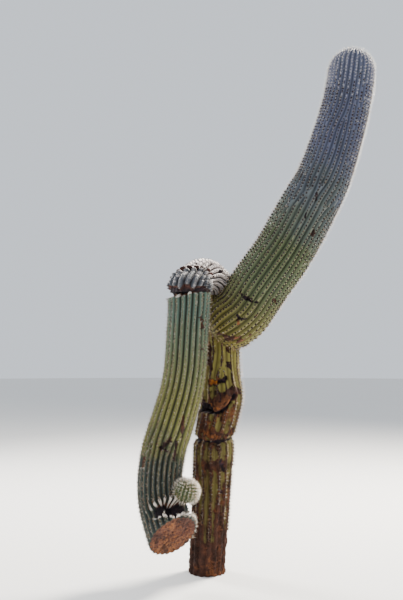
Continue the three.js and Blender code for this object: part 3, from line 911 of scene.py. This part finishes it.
class SaguaroColours(bpy.types.PropertyGroup):
    olive: colour("Olive skin", "Yellow-green skin low on the arms and on the trunk", (0.148, 0.122, 0.019))
    moss: colour("Moss skin", "Mid green skin of the arms", (0.096, 0.12, 0.056))
    # grey-green skin high on the raised arm, tinted blue as painted skylit shade
    slate_shade: colour("Slate skin", "Cool grey-green skin high on the raised arm", (0.108, 0.122, 0.19))
    fresh: colour("Fresh skin", "Green skin of the young offset", (0.034, 0.064, 0.009))
    # dark blue-green skin, darkened as painted shade of the lower hanging arm
    deep_shade: colour("Deep skin", "Dark blue-green skin low on the hanging arm", (0.028, 0.04, 0.036))
    crest: colour("Crest line", "Tan line that joins the areoles along a rib", (0.26, 0.22, 0.095))
    # painted shade deep between the ribs
    groove_shade: colour("Groove", "Skin deep between the ribs", (0.022, 0.022, 0.014))
    # pale grey cork, lightened as painted sunlight on the top
    sunlit_ash: colour("Ash bark", "Weathered grey cork of the folded top", (0.6, 0.53, 0.51))
    umber: colour("Umber bark", "Dark brown bark", (0.03, 0.013, 0.009))
    chestnut: colour("Chestnut bark", "Mid brown bark and callus", (0.13, 0.052, 0.026))
    rust: colour("Rust bark", "Orange-brown bark in fresh wounds", (0.27, 0.095, 0.022))
    # dark felt of old areoles, darkened to near-black as painted shade from their spines
    felt: colour("Areole felt", "Dark felt of old areoles", (0.016, 0.007, 0.008))
    down: colour("Young felt", "Pale felt of young areoles", (0.29, 0.285, 0.34))
    straw: colour("Straw spines", "Yellowish spines", (0.56, 0.36, 0.19))
    grey: colour("Grey spines", "Weathered grey spines", (0.38, 0.35, 0.35))
    cream: colour("Cream spines", "Pale young spines", (0.88, 0.82, 0.72))
    brown: colour("Brown spines", "Dark central spines", (0.08, 0.045, 0.032))


class SaguaroStudio(bpy.types.PropertyGroup):
    floor: colour("Floor", "Pale studio floor", (0.78, 0.77, 0.75))
    sky: colour("Surround", "Pale light from all round", (0.86, 0.92, 1.0))
    surround: FloatProperty(name="Surround strength", description="Light from all round", default=1.0,
                            min=0.0)
    key: power("Key light", "Soft light from the right and behind", 3200.0)
    rim: power("Rim light", "Soft light from the left and behind", 900.0)
    fill: power("Fill light", "Soft light from the front", 60.0)
    lens: FloatProperty(name="Lens", description="The camera's lens", default=50.0, min=10.0, unit="CAMERA")


def measures():
    return bpy.context.scene.saguaro_sizes


def shade(name):
    return tuple(getattr(bpy.context.scene.saguaro_colours, name))


def barks():
    return shade("umber"), shade("chestnut"), shade("rust")


# The stems and what marks each of them

def trunk_stem():
    lens = [(0.03, -0.1, 1.195), (0.07, -0.106, 1.222), (0.12, -0.112, 1.25), (0.165, -0.108, 1.268),
            (0.21, -0.08, 1.283)]
    crease = [(-0.04, 0.0, 1.155), (0.021, -0.062, 1.15), (0.064, -0.086, 1.146), (0.106, -0.094, 1.155),
              (0.149, -0.105, 1.19), (0.178, -0.098, 1.236), (0.205, -0.078, 1.272)]
    marks = [
        Mark(lens, 0.05, -0.01, 1.0, 0.0, 0.35),
        Mark([(0.05, -0.106, 1.19), (0.1, -0.112, 1.205), (0.15, -0.108, 1.24)],
             0.038, -0.012, 1.35, 0.0, 0.5),
        Mark(crease, 0.015, 0.03, 1.0, 1.0, 0.35),
        Mark([(-0.05, 0.0, 1.18), (-0.02, -0.05, 1.178), (0.02, -0.075, 1.168)], 0.038, 0.034, 1.0, 1.3, 0.2),
        Mark([(0.15, -0.1, 1.262), (0.185, -0.085, 1.3), (0.225, -0.06, 1.292)], 0.03, 0.002, 1.0, 0.0, 0.6),
        Mark([(0.05, -0.106, 1.215), (0.09, -0.112, 1.222), (0.13, -0.11, 1.212)],
             0.006, 0.008, 1.0, 0.8, 0.8),
        Mark([(0.085, -0.106, 1.29), (0.1, -0.112, 1.25), (0.09, -0.112, 1.225)],
             0.005, 0.008, 1.0, 0.8, 0.8),
        Mark([(0.12, -0.106, 1.29), (0.14, -0.112, 1.262), (0.165, -0.108, 1.24)],
             0.006, 0.008, 1.0, 0.8, 0.8),
        Mark([(0.02, -0.09, 1.2), (0.05, -0.106, 1.18), (0.08, -0.106, 1.172)], 0.016, 0.002, 2.0, 0.0, 0.8),
        Mark([(0.01, -0.075, 1.361), (0.042, -0.1, 1.352), (0.075, -0.095, 1.366)],
             0.021, 0.012, 2.4, 0.0, 0.6),
        Mark([(0.08, -0.1, 1.366), (0.114, -0.104, 1.372), (0.142, -0.09, 1.392)],
             0.016, 0.028, 1.0, 1.0, 0.6),
        Mark([(-0.04, -0.07, 1.04), (0.02, -0.105, 1.0), (0.077, -0.11, 0.985), (0.135, -0.09, 0.985),
              (0.175, -0.06, 1.005)], 0.034, 0.0, 0.6, 0.0, 0.8),
        Mark([(-0.03, -0.08, 1.01), (0.02, -0.11, 0.978), (0.077, -0.12, 0.968)], 0.016, 0.0, 1.9, 0.0, 0.9),
        Mark([(-0.05, -0.06, 1.11), (-0.01, -0.09, 1.08)], 0.04, 0.002, 0.6, 0.0, 0.8),
        Mark([(-0.035, -0.106, 0.785), (0.048, -0.134, 0.768), (0.135, -0.098, 0.781)],
             0.034, 0.004, 0.65, 0.0, 0.8),
        Mark([(0.1, -0.104, 0.8), (0.115, -0.104, 0.74)], 0.02, 0.008, 1.0, 0.7, 0.5),
        Mark([(0.105, -0.104, 0.585)], 0.015, 0.006, 1.0, 0.8, 0.3),
        Mark([(0.157, -0.083, 1.49), (0.175, -0.076, 1.475)], 0.022, 0.006, 0.9, 0.45, 0.9),
        Mark([(0.162, -0.08, 1.59), (0.16, -0.08, 1.6)], 0.02, 0.003, 0.7, 0.0, 0.9),
        Mark([(0.01, -0.085, 1.46), (-0.02, -0.075, 1.64)], 0.034, 0.006, 0.9, 0.3, 0.6),
        Mark([(0.085, -0.14, 0.2), (0.1, -0.14, 0.48)], 0.045, 0.003, 0.7, 0.0, 0.7),
        Mark([(0.19, 0.11, 0.9), (0.15, 0.16, 0.98)], 0.045, 0.006, 0.8, 0.0, 0.6),
        Mark([(0.07, 0.2, 1.38), (0.02, 0.18, 1.42)], 0.04, 0.01, 0.9, 0.2, 0.5),
        Mark([(-0.03, 0.13, 0.56), (0.02, 0.15, 0.6)], 0.035, 0.006, 0.8, 0.0, 0.6),
    ]
    seam = Crack(0.958, 0.007, 0.04, edge=0.034, tilt=(0.004, 0.018, 0.0), bark=0.9, hollow=1.6, pale=0.0,
                 swell=0.0, ragged=0.8, jag=0.004, core=0.9)
    return Stem("trunk", TRUNK_LINE, ribs=16, relief=0.015, fullness=1.5, inset=measures().inset,
                level=True, phase=math.radians(-2), cracks=[seam], marks=marks,
                merges=[(3, 1.15, 1.27), (9, 0.62, 0.74), (12, 1.4, 1.52)], step=0.024, ring=0.0085,
                columns=14, bark_foot=0.36, wobble=0.25, seed=21)


def raised_stem():
    marks = [
        Mark([(0.2, -0.23, 2.045), (0.222, -0.232, 2.01), (0.25, -0.236, 1.968), (0.29, -0.242, 1.952),
              (0.318, -0.247, 1.928), (0.375, -0.251, 1.92)], 0.0095, 0.014, 1.0, 1.0, 0.5),
        Mark([(0.255, -0.238, 1.965), (0.285, -0.24, 1.952), (0.305, -0.245, 1.938)],
             0.016, 0.016, 1.0, 1.0, 0.4),
        Mark([(0.208, -0.245, 1.836), (0.232, -0.246, 1.806), (0.285, -0.24, 1.803)],
             0.009, 0.008, 1.0, 1.0, 0.6),
        Mark([(0.215, -0.245, 1.8), (0.222, -0.246, 1.77)], 0.016, 0.004, 0.8, 0.0, 0.6),
        Mark([(0.781, -0.21, 2.71), (0.779, -0.21, 2.66)], 0.01, 0.008, 1.0, 1.0, 0.4),
        Mark([(0.702, -0.23, 2.56), (0.697, -0.23, 2.528)], 0.009, 0.008, 1.0, 1.0, 0.4),
        Mark([(0.761, -0.185, 2.435), (0.757, -0.185, 2.405)], 0.013, 0.006, 1.0, 0.6, 0.5),
        Mark([(0.86, -0.19, 3.005), (0.857, -0.19, 2.985)], 0.007, 0.004, 1.0, 1.0, 0.4),
        Mark([(0.48, -0.19, 1.945), (0.5, -0.18, 1.93)], 0.018, 0.003, 0.8, 0.0, 0.7),
        Mark([(0.355, -0.245, 1.825), (0.38, -0.24, 1.83)], 0.014, 0.003, 0.8, 0.0, 0.7),
        Mark([(0.08, -0.225, 1.69), (0.15, -0.225, 1.65), (0.25, -0.2, 1.64)], 0.03, 0.002, 0.8, 0.3, 0.7),
        Mark([(0.12, -0.2, 1.6), (0.25, -0.2, 1.59), (0.38, -0.19, 1.66)], 0.024, 0.001, 0.7, 0.0, 0.9),
        Mark([(0.9, 0.16, 2.65), (0.88, 0.165, 2.6)], 0.012, 0.01, 1.0, 0.8, 0.5),
        Mark([(0.52, 0.175, 2.32), (0.56, 0.19, 2.335)], 0.016, 0.01, 1.0, 0.6, 0.5),
    ]
    merges = [
        (31, 1.2, 1.25, 1.3), (33, 1.37, 1.31), (33, 1.84, 1.9), (2, 1.25, 1.19), (5, 0.84, 0.78),
        (27, 0.88, 0.98), (29, 1.08, 1.13, 1.18), (8, 0.3, 0.42), (12, 1.6, 1.5), (16, 0.8, 0.7),
        (20, 2.0, 1.9), (23, 1.1, 1.2),
    ]
    return Stem("raised_arm", RAISED_LINE, ribs=34, relief=0.028, fullness=1.9,
                inset=1.6 * measures().inset, side=TOWARDS_VIEWER, foot_dome=0.176, foot_blunt=2.2,
                tip_dome=0.184, phase=math.pi / 34, marks=marks, merges=merges, step=0.0245,
                ring=0.0092, columns=8, wobble=0.3, flat_end=(0.45, 1.3), seed=31)


def hanging_stem(name, span):
    """One of the two pieces that the hanging arm is built in: they share its ribs, cracks and marks."""
    cracks = [
        Crack(-0.004, 0.038, 0.058, (-0.72, -0.69, 0.0), 1.5, scallop=0.014, edge=0.01,
              tilt=(-0.018, 0.009, 0.0), hollow=1.1, knob=(0.014, 0.016), pale=0.6, jag=0.018),
        Crack(CREASE, 0.098, 0.11, CREASE_SIDE, 6.5, scallop=0.014, edge=0.012, tilt=(0.012, 0, 0),
              hollow=1.6, knob=(0.085, 0.036), narrow=(0.38, 0.02), pale=1.5, swell=0.016, jag=0.026,
              core=0.5),
        Crack(1.062, 0.01, 0.016, (-0.1, -0.99, 0.0), 4.0, scallop=0.008, edge=0.006,
              tilt=(0.043, -0.025, 0.0), hollow=0.9, knob=(0.012, 0.012), pale=0.25, swell=0.003),
    ]
    marks = [
        Mark([(-0.037, -0.388, 1.816), (-0.03, -0.374, 1.748)], 0.02, 0.004, 0.75, 0.3, 0.8),
        Mark([(-0.045, -0.38, 1.6), (0.0, -0.36, 1.59)], 0.008, 0.004, 0.8, 0.5, 0.8),
        Mark([(-0.159, -0.393, 1.13), (-0.166, -0.374, 1.068), (-0.168, -0.368, 1.01)],
             0.016, 0.004, 0.8, 0.4, 0.8),
        Mark([(-0.206, -0.372, 0.965), (-0.211, -0.366, 0.9), (-0.214, -0.366, 0.845)],
             0.014, 0.02, 0.7, 0.6, 0.5),
        Mark([(-0.318, -0.4, 0.925), (-0.285, -0.402, 0.95), (-0.25, -0.402, 0.982)],
             0.017, 0.014, 0.8, 0.55, 0.8),
        Mark([(-0.3, -0.12, 1.3), (-0.29, -0.13, 1.26)], 0.03, 0.006, 0.9, 0.0, 0.6),
        Mark([(-0.44, -0.33, 0.85), (-0.45, -0.32, 0.8)], 0.024, 0.006, 0.9, 0.0, 0.6),
        Mark([(-0.06, -0.15, 1.6), (-0.07, -0.14, 1.54)], 0.026, 0.008, 0.9, 0.0, 0.6),
    ]
    merges = [
        (0, 1.1, 1.04), (4, 1.08, 1.02), (8, 1.12, 1.05), (13, 1.0, 0.9), (17, 1.08, 1.0),
        (21, 1.09, 1.03),
    ]
    return Stem(name, HANGING_LINE, ribs=26, relief=0.028, fullness=2.6, inset=measures().inset,
                side=FOLD_OUTWARD, span=span, cracks=cracks, marks=marks, merges=merges, step=0.0235,
                ring=0.0088, columns=9, wobble=0.18, flat_end=(0.55, 0.07), cut=CUT_FACING, seed=41)


def fold_stem():
    trunk_top, hanging_top = np.array(TRUNK_LINE[-1][:3]), np.array(HANGING_LINE[0][:3])
    axis = (trunk_top + hanging_top) / 2
    axis[2] = FOLD_LEVEL
    half_span = np.linalg.norm((hanging_top - trunk_top)[:2]) / 2
    cracks = [
        Crack(0.0, 0.054, 0.038, FOLD_OUTWARD, 1.0, scallop=0.01, bark=1.35, hollow=0.7,
              knob=(0.014, 0.014), pale=0.0, ragged=0.6, jag=0.034, core=0.3),
        Crack(math.radians(37) * FOLD_ARC, 0.022, 0.038, (-0.35, -0.6, 0.72), 2.0, scallop=0.012,
              tilt=(0.039, -0.0225, 0.0), hollow=1.0, knob=(0.022, 0.03), narrow=(0.0, 0.0), pale=0.0,
              swell=0.014, ragged=0.5, jag=0.02, scorch=1.4),
    ]
    marks = [
        Mark([(0.107, -0.129, 2.148), (0.085, -0.164, 2.152)], 0.01, 0.008, 1.0, 0.7, 0.5),
        Mark([(0.027, -0.184, 2.2)], 0.011, 0.006, 1.0, 0.7, 0.5),
        Mark([(-0.15, -0.15, 2.19), (-0.13, -0.17, 2.2)], 0.01, 0.006, 1.0, 0.6, 0.5),
        Mark([(-0.09, -0.23, 2.21), (-0.06, -0.22, 2.222)], 0.011, 0.006, 1.0, 0.7, 0.5),
        Mark([(-0.02, 0.02, 2.24), (0.03, 0.03, 2.23)], 0.03, 0.008, 1.0, 0.2, 0.6),
    ]
    return Fold("folded_crown", (axis, half_span), ribs=20, relief=0.028, fullness=2.2,
                inset=0.5 * measures().inset, cracks=cracks, marks=marks,
                merges=[(4, 0.25, 0.3), (15, 0.28, 0.22)], step=0.0235, ring=0.006, columns=12,
                scales=(0.055, 0.016, 0.24), wobble=0.3, seed=51)


def offset_stem():
    return Stem("young_offset", OFFSET_LINE, ribs=20, relief=0.011, fullness=1.5,
                inset=0.4 * measures().inset, side=TOWARDS_VIEWER, foot_dome=0.058, tip_dome=0.064,
                step=0.015, ring=0.006, columns=7, seed=61)


# Operators

FELT_ROUGHNESS = 0.95


def dress(stem, slot, finish, habit, keep, young=lambda height: 0.0, pad_share=1.0, dish=None):
    """Builds one stem's skin, felt pads and spines over the node that they stand for.

    Keep is the bark past which an areole is gone, and young the share of young pads at a height.
    """
    skin = skin_piece(stem, finish, dish)
    if signed_volume(skin) < 0:
        skin.data.flip_normals()
    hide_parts(slot)
    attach(skin, "root")
    random = np.random.default_rng(measures().seed + stem.seed)
    places = areoles(stem, keep, random)
    radius = measures().pad * pad_share * random.uniform(0.8, 1.15, len(places[0]))
    fresh = random.uniform(0, 1, len(radius)) < young(places[3])
    for name, own, tone in (("areoles", ~fresh, "felt"), ("young_areoles", fresh, "down")):
        if own.any():
            felt = shared_finish(f"areole_{tone}", shade(tone), FELT_ROUGHNESS)
            pads = felt_pads(f"{stem.name}_{name}", *(p[own] for p in places[:3]), radius[own], felt)
            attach(pads, "root")
    spines(stem, places, habit, random)


def hanging_habit(needle):
    return [SpineRow(8, (52, 82), (0.009, 0.016), needle, dict(grey=0.1, straw=0.2, cream=0.1, brown=0.3)),
            SpineRow(4, (8, 45), (0.012, 0.021), needle * 1.1, dict(straw=0.25, cream=0.15, brown=0.4))]


class SAGUARO_OT_trunk(bpy.types.Operator):
    """Builds the trunk's skin, its old fold and scars, and its spines"""
    bl_idname = "saguaro.trunk"
    bl_label = "Trunk"

    def execute(self, context):
        needle = measures().needle
        # brown bark, darker than the other stems' as painted shade of the trunk's foot
        bark = shade("umber"), (0.07, 0.027, 0.016), (0.16, 0.055, 0.018)
        finish = skin_finish("trunk_skin", low=(0.09, 0.076, 0.02), high=(0.225, 0.2, 0.046),
                             groove_shade=(0.095, 0.074, 0.02), crest=(0.045, 0.018, 0.012), bark=bark,
                             line=0.9, stain=1.0, pitted=(1.04, 1.14), gloss=0.2)
        habit = [SpineRow(6, (60, 85), (0.01, 0.016), needle * 0.8, dict(straw=0.1, brown=0.8)),
                 SpineRow(4, (28, 55), (0.018, 0.027), needle * 0.8, dict(straw=0.4, cream=0.1, brown=0.4)),
                 SpineRow(5, (3, 28), (0.02, 0.03), needle, dict(straw=0.65, cream=0.3),
                          sunward=(0.6, 0.25, 0.0), base=0.6, least=0.3)]
        dress(trunk_stem(), "trunk", finish, habit, keep=0.45, pad_share=1.1)
        return {"FINISHED"}


class SAGUARO_OT_raised_arm(bpy.types.Operator):
    """Builds the raised arm's skin and its dense rows of spines"""
    bl_idname = "saguaro.raised_arm"
    bl_label = "Raised arm"

    def execute(self, context):
        needle = measures().needle
        # painted shade: the grooves are darkened by multiplying
        finish = skin_finish("raised_arm_skin", low=shade("moss"), high=shade("slate_shade"),
                             groove_shade=(0.38, 0.38, 0.4), crest=shade("crest"), bark=barks(),
                             turn=(0.3, 0.7), line=0.5, line_turn=(0.82, 0.93),
                             base=shade("olive"), base_turn=(0.04, 0.2), groove_turn=(0.55, 1.0),
                             groove_blend="MULTIPLY", groove_fade=0.15, tip_crest=(0.1, 0.108, 0.155),
                             gloss=0.4)
        habit = [SpineRow(6, (62, 85), (0.01, 0.016), needle * 0.8,
                          dict(grey=(0.0, 0.15), cream=(-0.2, 0.2), brown=(0.8, 0.4))),
                 SpineRow(5, (28, 58), (0.018, 0.028), needle * 0.8,
                          dict(grey=(0.0, 0.2), straw=(0.45, 0.0), cream=(-0.3, 0.4), brown=(0.4, 0.3)),
                          sunward=(0.0, 0.5, 0.0), base=0.8, least=0.4),
                 SpineRow(6, (3, 25), (0.02, 0.032), needle, dict(straw=(0.6, -0.2), cream=(0.1, 1.1)),
                          sunward=(0.0, 0.65, 0.0), base=0.75, least=0.15)]
        dress(raised_stem(), "raised_arm", finish, habit, keep=0.5,
              young=lambda height: ease(height, 0.79, 0.92), pad_share=1.1)
        return {"FINISHED"}


class SAGUARO_OT_folded_crown(bpy.types.Operator):
    """Builds the folded top with its two cracks and ash-grey cork"""
    bl_idname = "saguaro.folded_crown"
    bl_label = "Folded crown"

    def execute(self, context):
        bark = (0.02, 0.01, 0.01), (0.07, 0.026, 0.02), (0.12, 0.038, 0.024)
        # painted shade on the dark blue-grey front tier and in the near-black grooves, painted sunlight on
        # the pale cork of the top
        finish = skin_finish("folded_crown_skin", low=(0.056, 0.062, 0.074), high=shade("sunlit_ash"),
                             groove_shade=(0.01, 0.008, 0.011), crest=(0.46, 0.42, 0.4), bark=bark,
                             turn=(0.19, 0.25), line=0.3, fleck=(0.54, 0.48, 0.46),
                             pitted=(1.0, 1.12), torn_shade=0.9)
        habit = [SpineRow(3, (50, 80), (0.006, 0.012), measures().needle,
                          dict(grey=0.6, straw=0.1, cream=0.2, brown=0.1))]
        dress(fold_stem(), "folded_crown", finish, habit, keep=0.4, pad_share=0.5)
        return {"FINISHED"}


class SAGUARO_OT_hanging_arm(bpy.types.Operator):
    """Builds the hanging arm down to its crease, with its merging ribs and scars"""
    bl_idname = "saguaro.hanging_arm"
    bl_label = "Hanging arm"

    def execute(self, context):
        # the lower arm's dark blue-green skin is partly painted shade
        finish = skin_finish("hanging_arm_skin", low=(0.14, 0.142, 0.034), high=shade("deep_shade"),
                             groove_shade=shade("groove_shade"), crest=shade("crest"), bark=barks(),
                             turn=(0.6, 0.72), line=0.35, base=(0.08, 0.128, 0.1),
                             base_turn=(0.1, 0.45), gloss=0.35)
        stem = hanging_stem("hanging_arm", (0.0, ARM_BEND - HAIR))
        dress(stem, "hanging_arm", finish, hanging_habit(measures().needle), keep=0.45, pad_share=0.7)
        return {"FINISHED"}


class SAGUARO_OT_cut_arm_end(bpy.types.Operator):
    """Builds the hanging arm's last piece with its dry cut face"""
    bl_idname = "saguaro.cut_arm_end"
    bl_label = "Cut arm end"

    def execute(self, context):
        needle = measures().needle
        bark = (0.042, 0.016, 0.014), (0.175, 0.062, 0.028), (0.29, 0.112, 0.036)
        # the whole skin is the lower arm's dark blue-green, partly painted shade
        finish = skin_finish("cut_arm_end_skin", low=shade("deep_shade"), high=shade("deep_shade"),
                             groove_shade=shade("groove_shade"), crest=shade("crest"), bark=bark, line=0.35,
                             pitted=(0.98, 1.1), gloss=0.35, clumps=85.0)
        habit = hanging_habit(needle)
        habit.append(SpineRow(8, (5, 60), (0.018, 0.03), needle * 2.0, dict(straw=0.15, cream=0.85),
                              sunward=(0.95, 0.0, 0.3), base=0.25))
        stem = hanging_stem("cut_arm_end", (ARM_BEND + HAIR, None))
        dress(stem, "cut_arm_end", finish, habit, keep=0.6, pad_share=0.7, dish=measures().dish)
        return {"FINISHED"}


class SAGUARO_OT_young_offset(bpy.types.Operator):
    """Builds the round young offset under its pale spines"""
    bl_idname = "saguaro.young_offset"
    bl_label = "Young offset"

    def execute(self, context):
        needle = measures().needle * 1.1
        # the grooves are painted shade, and the fresh skin is darkened partly as painted shade
        finish = skin_finish("young_offset_skin", low=shade("fresh"), high=shade("fresh"),
                             groove_shade=(0.02, 0.03, 0.006), crest=(0.26, 0.26, 0.08), bark=barks())
        habit = [SpineRow(6, (55, 80), (0.008, 0.013), needle, dict(straw=0.3, cream=0.3, brown=0.2)),
                 SpineRow(18, (3, 40), (0.02, 0.033), needle * 1.5, dict(straw=0.3, cream=0.7),
                          sunward=(0.5, 0.4, 0.4), base=0.6, least=0.12)]
        dress(offset_stem(), "young_offset", finish, habit, keep=0.6, young=lambda height: 0.4,
              pad_share=0.5)
        return {"FINISHED"}


FLOOR_RADIUS, FLOOR_SIDES = 40, 96
SENSOR_WIDTH = 36.0  # of the camera, in millimetres
CAMERA_PLACE = (-0.04, -6.08, 1.6)
CAMERA_TILT = 93.34  # degrees up from straight down
LIGHTS = [  # setting, place, what it looks at, width of its disc and tone
    ("key", (4.0, 3.6, 6.8), (0.3, 0.0, 1.9), 2.4, (1.0, 0.94, 0.84)),
    ("rim", (-4.6, 4.4, 5.2), (0.3, 0.0, 2.2), 2.4, (1.0, 0.97, 0.94)),
    ("fill", (-3.4, -6.4, 4.2), (0.2, 0.0, 1.7), 4.5, (0.93, 0.96, 1.0)),
]


def area_light(name, place, target, width, watts, tone):
    light = bpy.data.lights.new(name, "AREA")
    light.shape, light.size, light.energy, light.color = "DISK", width, watts, tone
    lamp = bpy.data.objects.new(name, light)
    lamp.location = place
    lamp.rotation_euler = (Vector(target) - Vector(place)).to_track_quat("-Z", "Y").to_euler()
    bpy.context.scene.collection.objects.link(lamp)


class SAGUARO_OT_studio(bpy.types.Operator):
    """Sets up the pale floor, the soft lights and the camera"""
    bl_idname = "saguaro.studio"
    bl_label = "Studio"

    def execute(self, context):
        studio = context.scene.saguaro_studio
        made = Finish("studio_floor")
        tone = tuple(studio.floor)
        made.finish(made.mix(tone, tuple(0.97 * c for c in tone), made.noise(0.8)), 0.9)
        angle = 2 * math.pi * np.arange(FLOOR_SIDES) / FLOOR_SIDES
        rim = FLOOR_RADIUS * np.stack([np.cos(angle), np.sin(angle), 0 * angle], axis=1)
        floor = mesh_object("studio_floor", rim, [list(range(FLOOR_SIDES))], made.material)
        world = bpy.data.worlds.new("studio_surround")
        world.use_nodes = True
        background = world.node_tree.nodes["Background"]
        background.inputs["Color"].default_value = (*studio.sky, 1.0)
        background.inputs["Strength"].default_value = studio.surround
        context.scene.world = world
        for name, place, target, width, tone in LIGHTS:
            area_light(f"{name}_light", place, target, width, getattr(studio, name), tone)
        lens = bpy.data.cameras.new("studio_camera")
        lens.lens, lens.sensor_width = studio.lens, SENSOR_WIDTH
        camera = bpy.data.objects.new("studio_camera", lens)
        camera.location = CAMERA_PLACE
        camera.rotation_euler = (math.radians(CAMERA_TILT), 0.0, 0.0)
        context.scene.collection.objects.link(camera)
        context.scene.camera = camera
        return {"FINISHED"}


GROUPS = {"saguaro_sizes": SaguaroSizes, "saguaro_colours": SaguaroColours, "saguaro_studio": SaguaroStudio}
PIECES = (SAGUARO_OT_trunk, SAGUARO_OT_raised_arm, SAGUARO_OT_folded_crown, SAGUARO_OT_hanging_arm,
          SAGUARO_OT_cut_arm_end, SAGUARO_OT_young_offset, SAGUARO_OT_studio)


class SAGUARO_PT_panel(bpy.types.Panel):
    """Lists the saguaro's pieces with their sizes and colours"""
    bl_idname = "SAGUARO_PT_panel"
    bl_label = "Saguaro"
    bl_space_type = "VIEW_3D"
    bl_region_type = "UI"
    bl_category = "Saguaro"

    def draw(self, context):
        for operator in PIECES:
            self.layout.operator(operator.bl_idname)
        for name, kind in GROUPS.items():
            box = self.layout.box()
            for setting in kind.__annotations__:
                box.prop(getattr(context.scene, name), setting)


def register():
    for kind in (*GROUPS.values(), *PIECES, SAGUARO_PT_panel):
        bpy.utils.register_class(kind)
    for name, group in GROUPS.items():
        setattr(bpy.types.Scene, name, PointerProperty(type=group))


def unregister():
    for name in GROUPS:
        delattr(bpy.types.Scene, name)
    for kind in reversed((*GROUPS.values(), *PIECES, SAGUARO_PT_panel)):
        bpy.utils.unregister_class(kind)


def main():
    register()
    bpy.ops.saguaro.studio()
    bpy.ops.saguaro.trunk()
    bpy.ops.saguaro.raised_arm()
    bpy.ops.saguaro.folded_crown()
    bpy.ops.saguaro.hanging_arm()
    bpy.ops.saguaro.cut_arm_end()
    bpy.ops.saguaro.young_offset()


if __name__ == "__main__":
    main()
